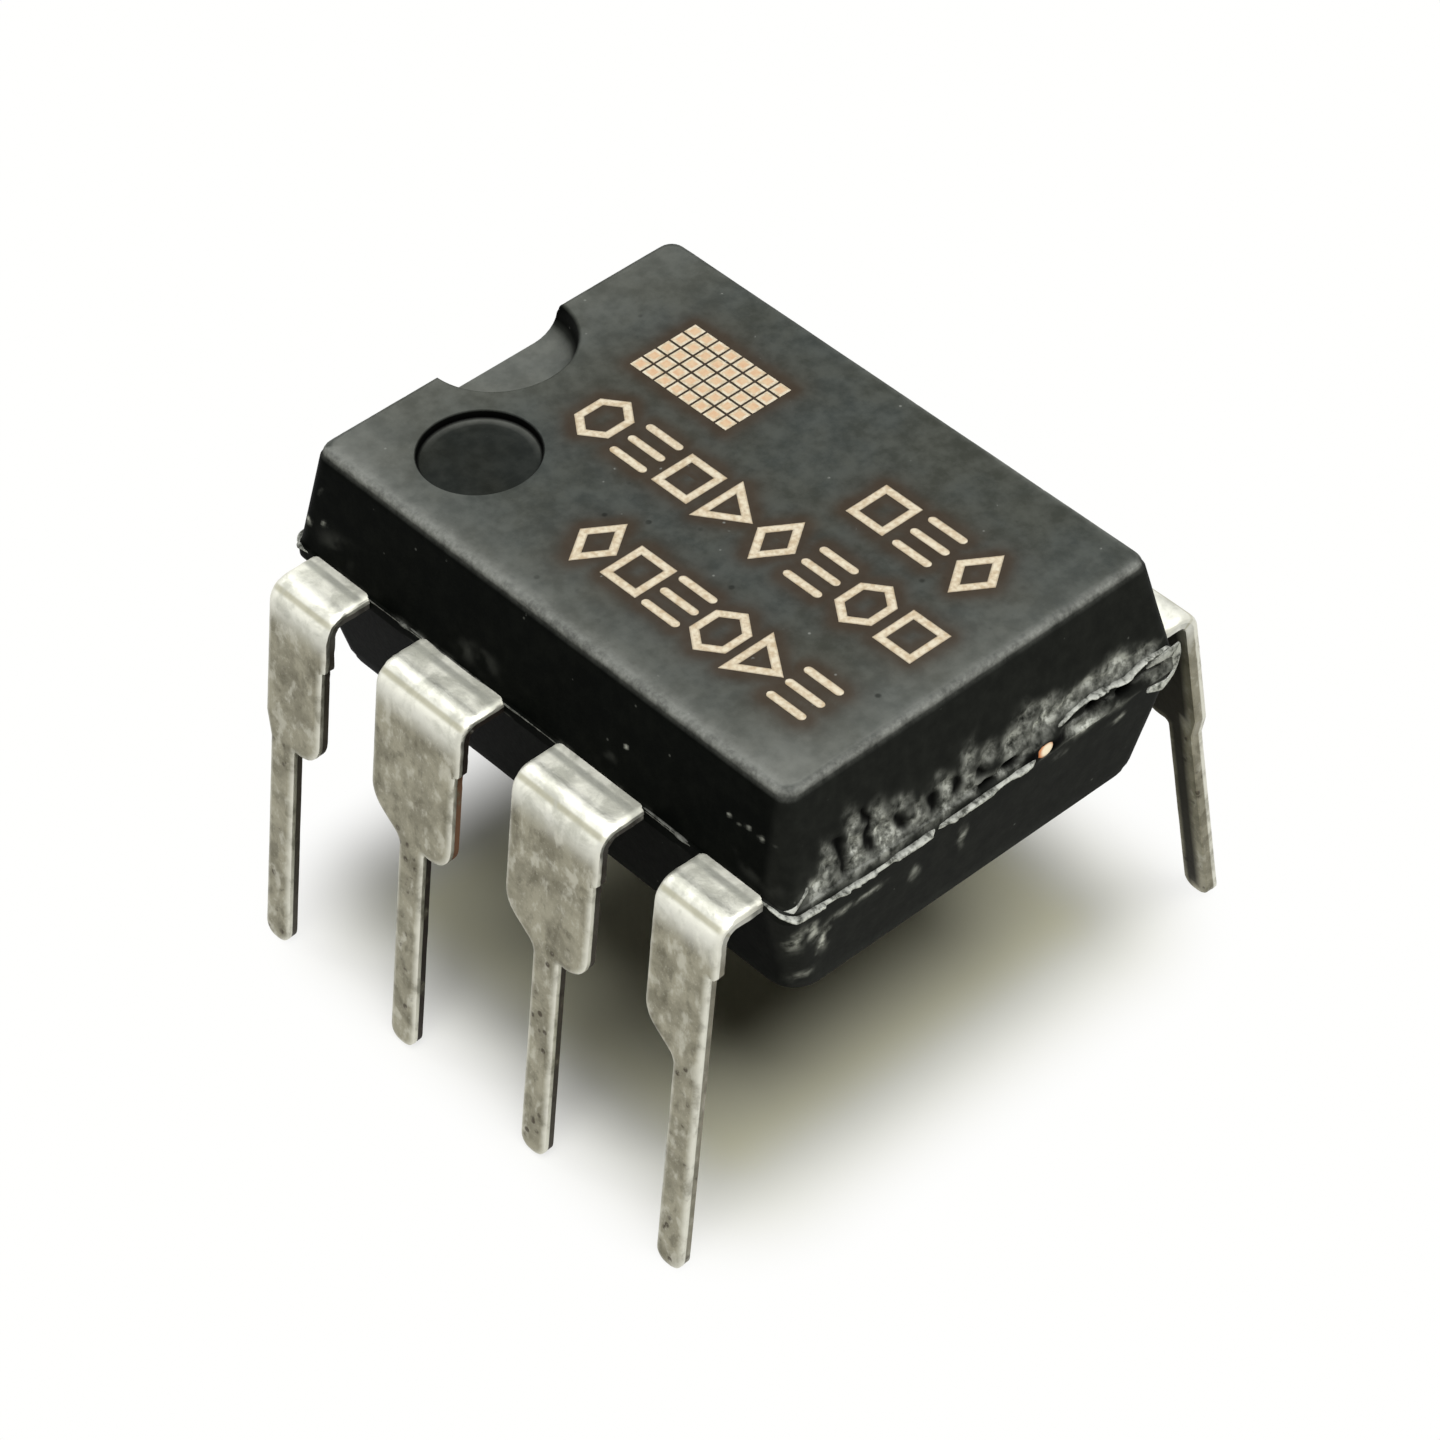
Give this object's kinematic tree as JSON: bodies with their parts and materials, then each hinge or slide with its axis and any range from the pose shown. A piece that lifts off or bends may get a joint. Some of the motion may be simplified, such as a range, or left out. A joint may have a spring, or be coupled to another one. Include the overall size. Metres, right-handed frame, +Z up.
{
  "type": "dual in-line integrated circuit",
  "caption": "Small black moulded chip body with a half-round end notch and a round corner recess, standing on two rows of bent tinned leads.",
  "frame": {"origin": "centre of the package on the surface under its lead tips", "axes": "+X along the body away from the notch, -Y towards the row of leads 1 to 4, +Z up out of the top face"},
  "size_m": [0.0092, 0.0094, 0.0071],
  "materials": {
    "epoxy": "matt black moulding compound with fine grain, grey wear on its edges and pale scrapes at the parting line",
    "tinned_lead": "warm grey tin plating, bright at the bends and mottled on the legs, copper at trimmed edges",
    "frame_copper": "bare copper",
    "attach_resin": "silver-filled resin",
    "silicon": "polished silicon",
    "gold_wire": "bright gold"
  },
  "bodies": {
    "root": {"epoxy_body": "epoxy", "lead_1": "tinned_lead", "lead_2": "tinned_lead", "lead_3": "tinned_lead", "lead_4": "tinned_lead", "lead_5": "tinned_lead", "lead_6": "tinned_lead", "lead_7": "tinned_lead", "lead_8": "tinned_lead", "die_pad": "frame_copper", "die_attach": "attach_resin", "silicon_die": "silicon", "bond_wire_1": "gold_wire", "bond_wire_2": "gold_wire", "bond_wire_3": "gold_wire", "bond_wire_4": "gold_wire", "bond_wire_5": "gold_wire", "bond_wire_6": "gold_wire", "bond_wire_7": "gold_wire", "bond_wire_8": "gold_wire"}
  },
  "joints": []
}
